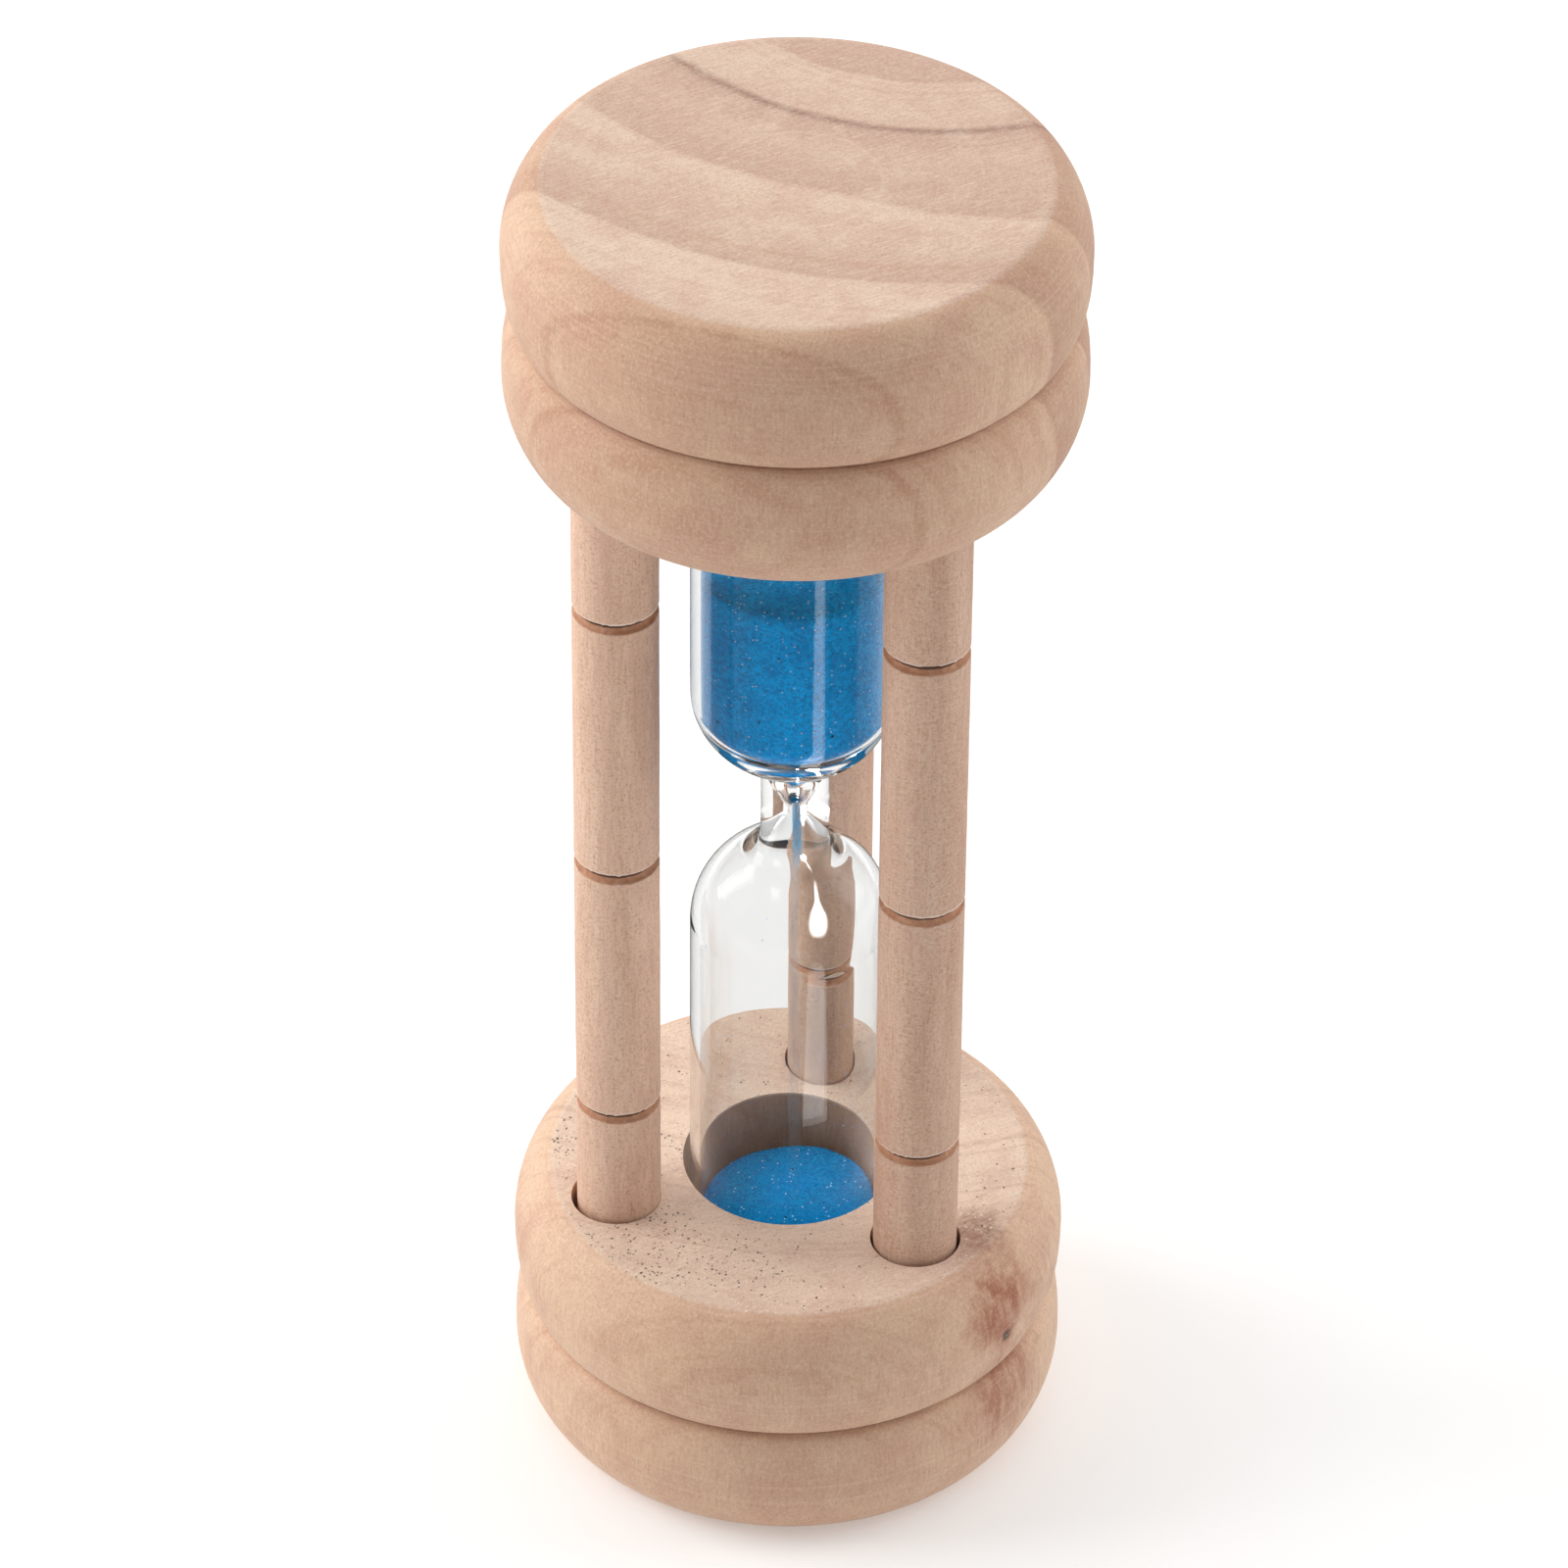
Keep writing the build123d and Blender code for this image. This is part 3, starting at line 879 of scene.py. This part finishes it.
def ring_cut(turn, z, rings, seed):
    """How deep a spot lies in one of the ragged rings, or 0 outside them."""
    width_share, depth_share = RING_RAGGED
    deep = 0.0
    for index, ring in enumerate(rings):
        ragged = noise.noise(Vector((math.cos(turn) * 9, math.sin(turn) * 9, seed * 7 + index)))
        wave = noise.noise(Vector((math.cos(turn) * 1.3, math.sin(turn) * 1.3, seed + index)))
        offset = (z - ring - RING_WANDER * wave) / (RING_WIDTH / 2 * (1 + width_share * ragged))
        if abs(offset) < 1:
            deep = RING_DEPTH * math.sqrt(1 - offset ** 2) * (1 + depth_share * ragged)
    return deep


def make_post(node, material, seed):
    """A dowel with ragged rings cut round it, between the floors of its two sockets."""
    low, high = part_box(node)
    centre = (low + high) / 2
    radius = (high.x - low.x) / 2
    rings = [BASE_FACE + h for h in RING_HEIGHTS]
    points, faces = lathe(post_profile(low.z, high.z, radius, rings), POST_SEGMENTS)
    shaped = []
    for x, y, z in points:
        turn = math.atan2(y, x)
        here = math.hypot(x, y)
        grain = noise.noise(Vector((x / MM * 2.5, y / MM * 2.5, z / MM * 0.25 + seed * 11)))
        if here > radius - NEAR:
            here += min(0.0, POST_RELIEF * grain - NEAR) - ring_cut(turn, z, rings, seed)
        shaped.append((centre.x + here * math.cos(turn), centre.y + here * math.sin(turn), z))
    post = new_object(node + "_dowel", shaped, faces, material)
    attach(post, "frame")
    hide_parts(node)


def make_pad(node, material, crown_up):
    """A cut disc of felt: flat on its seat, pressed flat under the vial and raised round it."""
    low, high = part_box(node)
    radius, thick = high.x, high.z - low.z
    if crown_up:
        profile = [(r * radius, low.z + h * thick) for r, h in PAD_OUTLINE]
    else:
        profile = [(r * radius, high.z - h * thick) for r, h in reversed(PAD_OUTLINE)]
    points, faces = lathe(profile, PAD_SEGMENTS)
    shaped = []
    for x, y, z in points:
        share = math.hypot(x, y) / radius
        turn = math.atan2(y, x)
        ragged = noise.noise(Vector((math.cos(turn) * 4, math.sin(turn) * 4, z / MM)))
        grow = 1 - 0.03 * share ** 4 * (1 + ragged)
        shaped.append((x * grow, y * grow, z))
    pad = new_object(node + "_felt", shaped, faces, material)
    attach(pad, "frame")
    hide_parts(node)


def add_grain(points, faces, centre, size, rng):
    """Adds one ragged eight-sided grain to a mesh's points and faces."""
    start = len(points)
    for axis in range(3):
        for sign in (-1, 1):
            offset = Vector((0, 0, 0))
            offset[axis] = sign * size * rng.uniform(0.6, 1.0)
            points.append(centre + offset)
    for a in (0, 1):
        for b in (2, 3):
            for c in (4, 5):
                face = (start + a, start + b, start + c)
                faces.append(face if (a + b + c) % 2 == 0 else face[::-1])


def make_clinging_grains(material):
    """Single grains that static holds on the inside of the lower bulb."""
    rng = random.Random(4)
    points, faces = [], []
    for _ in range(CLINGING_COUNT):
        turn = rng.uniform(0, 2 * math.pi)
        rise = rng.uniform(0, 1) ** 1.6
        size = rng.uniform(*CLINGING_SIZE)
        r = BORE_RADIUS - size * 1.05
        z = BASE_FACE + CLINGING_START + rise * CLINGING_SPAN
        centre = Vector((r * math.cos(turn), r * math.sin(turn), z))
        add_grain(points, faces, centre, size, rng)
    grains = new_object("clinging_grains", points, faces, material, smooth=False)
    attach(grains, "vial")


# ---------------------------------------------------------------- stage

def paint(node, material):
    """Gives a CAD node's object a material in every slot."""
    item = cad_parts[node]
    item.data.materials.clear()
    item.data.materials.append(material)
    for polygon in item.data.polygons:
        polygon.material_index = 0


def make_camera():
    """A long lens in front of the timer and above it, rolled a little."""
    data = bpy.data.cameras.new("camera")
    data.lens = CAMERA_LENS
    data.sensor_width = 36.0
    data.clip_start = 0.01
    camera = bpy.data.objects.new("camera", data)
    bpy.context.scene.collection.objects.link(camera)
    right = Vector((math.cos(CAMERA_AZIMUTH), math.sin(CAMERA_AZIMUTH), 0))
    away = Vector((math.sin(CAMERA_AZIMUTH), -math.cos(CAMERA_AZIMUTH), 0))
    place = away * CAMERA_REACH + Vector((0, 0, CAMERA_HEIGHT))
    target = Vector((0, 0, CAMERA_TARGET_HEIGHT)) + right * CAMERA_SIDESTEP
    look = (target - place).to_track_quat("-Z", "Y").to_matrix().to_4x4()
    camera.matrix_world = Matrix.Translation(place) @ look @ Matrix.Rotation(CAMERA_ROLL, 4, "Z")
    bpy.context.scene.camera = camera


def area_light(name, azimuth, elevation, distance, size, power, tint=(1, 1, 1)):
    """A soft panel that faces the timer from a direction given in degrees round from the camera."""
    data = bpy.data.lights.new(name, "AREA")
    data.shape = "RECTANGLE"
    data.size, data.size_y = size
    data.energy = power
    data.color = tint
    lamp = bpy.data.objects.new(name, data)
    bpy.context.scene.collection.objects.link(lamp)
    turn = CAMERA_AZIMUTH + math.radians(azimuth)
    rise = math.radians(elevation)
    back = Vector((math.sin(turn) * math.cos(rise), -math.cos(turn) * math.cos(rise), math.sin(rise)))
    lamp.location = Vector((0, 0, WAIST)) + back * distance
    lamp.rotation_mode = "QUATERNION"
    lamp.rotation_quaternion = (-back).to_track_quat("-Z", "Y")
    lamp.visible_camera = False
    return lamp


def make_floor():
    """A pale floor that glows a little, so that it stays white under the timer's soft shadow."""
    t = Tree("pale_floor")
    grain = t.noise(t.place, 0.02, 3, 0.5)
    colour = t.ramp(grain, [(0.3, (0.80, 0.80, 0.80)), (0.7, (0.82, 0.82, 0.82))])
    material = t.finish(t.principled(
        Base_Color=colour,
        Roughness=0.9,
        Specular_IOR_Level=0.1,
        Emission_Color=(1.0, 0.99, 0.98),
        Emission_Strength=FLOOR_GLOW,
    ))
    reach = FLOOR_REACH
    corners = [(-reach, -reach, 0), (reach, -reach, 0), (reach, reach, 0), (-reach, reach, 0)]
    floor = new_object("floor", corners, [(0, 1, 2, 3)], material, smooth=False)
    floor.location.z = -FLOOR_DROP


def make_world():
    """A soft tent of cloth: bright overhead, darker towards the horizon and on its open front."""
    world = bpy.data.worlds.new("studio")
    bpy.context.scene.world = world
    world.use_nodes = True
    tree = world.node_tree
    background = tree.nodes["Background"]
    coordinates = tree.nodes.new("ShaderNodeTexCoord")
    parts = tree.nodes.new("ShaderNodeSeparateXYZ")
    ramp = tree.nodes.new("ShaderNodeValToRGB")
    ahead = tree.nodes.new("ShaderNodeVectorMath")
    ahead.operation = "DOT_PRODUCT"
    ahead.inputs[1].default_value = (math.sin(CAMERA_AZIMUTH), -math.cos(CAMERA_AZIMUTH), 0.0)
    opening = tree.nodes.new("ShaderNodeMapRange")
    opening.interpolation_type = "SMOOTHSTEP"
    opening.inputs["From Min"].default_value = SKY_OPENING[0]
    opening.inputs["From Max"].default_value = SKY_OPENING[1]
    opening.inputs["To Min"].default_value = 1.0
    opening.inputs["To Max"].default_value = SKY_FRONT
    shaded = tree.nodes.new("ShaderNodeVectorMath")
    shaded.operation = "MULTIPLY"
    tree.links.new(coordinates.outputs["Generated"], parts.inputs[0])
    tree.links.new(coordinates.outputs["Generated"], ahead.inputs[0])
    tree.links.new(parts.outputs[2], ramp.inputs[0])
    tree.links.new(ahead.outputs["Value"], opening.inputs["Value"])
    tree.links.new(ramp.outputs[0], shaded.inputs[0])
    tree.links.new(opening.outputs[0], shaded.inputs[1])
    tree.links.new(shaded.outputs[0], background.inputs["Color"])
    elements = ramp.color_ramp.elements
    elements.new(0.5)
    for element, (height, level) in zip(elements, SKY):
        element.position = height
        element.color = (level, level, level, 1.0)
    background.inputs["Strength"].default_value = SKY_STRENGTH


def only_glass(glass):
    """The collection of what a lamp lights when it is linked to the vial alone."""
    chosen = bpy.data.collections.get("only_glass")
    if chosen is None:
        chosen = bpy.data.collections.new("only_glass")
        chosen.objects.link(glass)
    return chosen


def make_lights(glass):
    """Two soft side panels, and a bright strip low down that lights nothing but the glass."""
    area_light("left_panel", *LEFT_PANEL, PANEL_TINT)
    area_light("right_panel", *RIGHT_PANEL, PANEL_TINT)
    turn = CAMERA_AZIMUTH + math.radians(LOW_STRIP[0])
    low = area_light("low_strip", *LOW_STRIP)
    low.location.z = LOW_STRIP_HEIGHT
    low.rotation_quaternion = (
        Matrix.Rotation(turn, 4, "Z") @ Matrix.Rotation(math.pi, 4, "X")).to_quaternion()
    low.visible_diffuse = False
    low.light_linking.receiver_collection = only_glass(glass)


def mirrored_only(item):
    """Leaves an object to be seen in reflections alone."""
    item.visible_camera = False
    item.visible_diffuse = False
    item.visible_transmission = False
    item.visible_shadow = False


def wand_mesh():
    """Points of a bent strip, how much each of them glows, and faces."""
    foot, bow, tip = (Vector(p) * MM for p in WAND_CURVE)
    across = Vector(WAND_ACROSS).normalized()
    columns = 2 * WAND_SIDE + 1
    points, glow, faces = [], [], []
    for k in range(WAND_STEPS + 1):
        s = k / WAND_STEPS
        middle = foot * (1 - s) ** 2 + bow * 2 * s * (1 - s) + tip * s ** 2
        swell = math.sin(math.pi * min(1.0, (s + 0.12) / 0.74))
        half = (WAND_NARROW + WAND_SWELL * swell) * MM
        ends = min(1.0, (s + 0.02) / 0.15, (1.02 - s) / 0.3)
        for j in range(-WAND_SIDE, WAND_SIDE + 1):
            points.append(middle + across * half * j / WAND_SIDE)
            glow.append((1.0 - (j / WAND_SIDE) ** 2) * ends)
        if k < WAND_STEPS:
            for a in range(columns * k, columns * (k + 1) - 1):
                faces.append((a, a + 1, a + columns + 1, a + columns))
    return points, glow, faces


def make_light_wand(glass):
    """A small bent light beside the lower bulb, wide at its foot, which only the glass mirrors."""
    points, glow, faces = wand_mesh()
    t = Tree("wand_glow")
    attribute = t.add("ShaderNodeAttribute")
    attribute.attribute_name = "glow"
    lit = t.maths("MULTIPLY", t.step(attribute.outputs["Fac"], 0.0, 0.75), WAND_GLOW)
    lamp = t.add("ShaderNodeEmission")
    t.put(lamp.inputs["Strength"], lit)
    wand = new_object("light_wand", points, faces, t.finish(lamp.outputs[0]), smooth=False)
    layer = wand.data.attributes.new("glow", "FLOAT", "POINT")
    layer.data.foreach_set("value", glow)
    mirrored_only(wand)
    wand.light_linking.receiver_collection = only_glass(glass)


def make_dark_card():
    """A ring of grey card on the table that only reflections see. It keeps the glass clear of haze."""
    t = Tree("grey_card")
    tone = t.noise(t.place, 0.05, 3, 0.5)
    colour = t.ramp(tone, [(0.3, (0.03, 0.03, 0.03)), (0.7, (0.06, 0.06, 0.06))])
    material = t.finish(t.principled(Base_Color=colour, Roughness=0.9, Specular_IOR_Level=0.1))
    points, faces = [], []
    for k in range(CARD_SEGMENTS):
        turn = 2 * math.pi * k / CARD_SEGMENTS
        for reach in CARD_RING:
            points.append((reach * math.cos(turn), reach * math.sin(turn), CARD_HEIGHT))
        a, b = 2 * k, 2 * ((k + 1) % CARD_SEGMENTS)
        faces.append((a, a + 1, b + 1, b))
    card = new_object("grey_card", points, faces, material, smooth=False)
    mirrored_only(card)


def paint_caps():
    """Both caps' wood: ring distances, socket heights and knots are in millimetres."""
    light, mid, dark = srgb(228, 201, 179), srgb(216, 186, 164), srgb(201, 168, 147)
    pale, line, faint = srgb(243, 217, 195), srgb(142, 104, 92), srgb(194, 156, 132)
    top, base = TOP_FACE / MM, BASE_FACE / MM
    paint("top_cap", cap_wood(
        "top_cap_wood", (3.0, 30.5), -0.1, (18.0, 24.0, 0.2),
        [(0.0, mid), (6.5, dark), (7.0, light), (12.0, mid), (12.5, line), (13.1, dark), (16.0, mid),
         (20.5, dark), (20.9, light), (26.0, mid), (30.3, dark), (30.6, light), (34.0, light),
         (37.7, mid), (38.0, faint), (38.2, mid), (50.0, dark)],
        top, (top, top + SOCKET_DEPTH), [((4.0, 8.0, top), 6.0)], [],
    ))
    paint("base_cap", cap_wood(
        "base_cap_wood", (-6.0, 42.0), -0.12, (50.0, 54.0, 0.1),
        [(0.0, mid), (34.0, pale), (46.0, pale), (57.3, light), (57.5, mid), (57.7, light), (70.0, dark)],
        base, (base - SOCKET_DEPTH, base),
        [((-7.5, -12.0, base), 6.0), ((-0.5, -12.5, base), 5.0),
         ((-9.0, -1.5, base), 3.6), ((-16.0, -1.5, base), 3.4)],
        [((16.9, -8.0, 16.6), 5.0, srgb(168, 98, 68), 0.92),
         ((14.8, -5.0, base), 3.2, srgb(146, 90, 70), 0.75),
         ((18.0, -7.5, 8.5), 5.6, srgb(170, 106, 80), 0.74),
         ((17.9, -8.2, 13.9), 0.7, srgb(30, 18, 16), 0.97)],
    ))


def make_stage():
    """Everything round the timer but the lamps."""
    bpy.context.scene.view_settings.view_transform = "Standard"
    make_camera()
    make_world()
    make_floor()
    make_dark_card()


def build():
    """The stage first, then the timer's pieces."""
    make_stage()
    paint_caps()
    pad = felt("pad_felt")
    make_pad("lower_seat_pad", pad, crown_up=True)
    make_pad("upper_seat_pad", pad, crown_up=False)
    for seed, (node, tint) in enumerate(POST_PAINTED_LIGHT.items()):
        low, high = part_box(node)
        make_post(node, post_wood(node + "_wood", (low + high) / 2, seed, tint), seed)
    vial = make_vial(clear_glass("vial_glass"))
    make_lights(vial)
    make_light_wand(vial)
    # The sand above with painted light; the heap below with painted shade.
    sand = blue_sand("dyed_sand", UPPER_SAND_PAINTED_LIGHT)
    make_upper_sand(sand)
    make_lower_sand(blue_sand("dyed_sand_below_painted_shade", LOWER_SAND_PAINTED_SHADE))
    make_stream(falling_sand("sand_in_flight"))
    make_clinging_grains(sand)


build()
